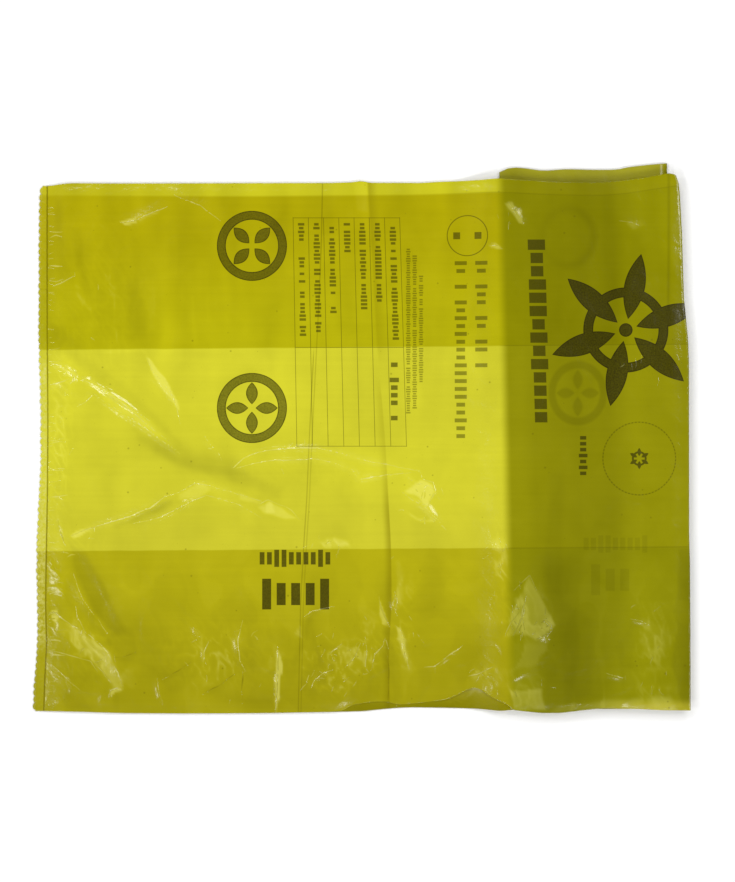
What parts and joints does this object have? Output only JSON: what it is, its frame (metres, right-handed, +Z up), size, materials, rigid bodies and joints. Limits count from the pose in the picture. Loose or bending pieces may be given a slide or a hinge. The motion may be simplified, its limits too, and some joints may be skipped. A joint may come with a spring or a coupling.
{
  "type": "clinical waste bag",
  "caption": "Large gusseted film sack for infectious clinical waste, laid flat with its welded bottom seal at one side and its mouth end folded under itself at the other.",
  "frame": {"origin": "middle of the box round the bag, on the floor it lies on", "axes": "+X runs from the bottom seal to the fold, +Y across the bag, +Z up from the floor"},
  "size_m": [0.5346, 0.4484, 0.008],
  "materials": {
    "film": "glossy blown polyethylene film, crinkled, with dark print"
  },
  "bodies": {
    "root": {"film_bag": "film"}
  },
  "joints": []
}
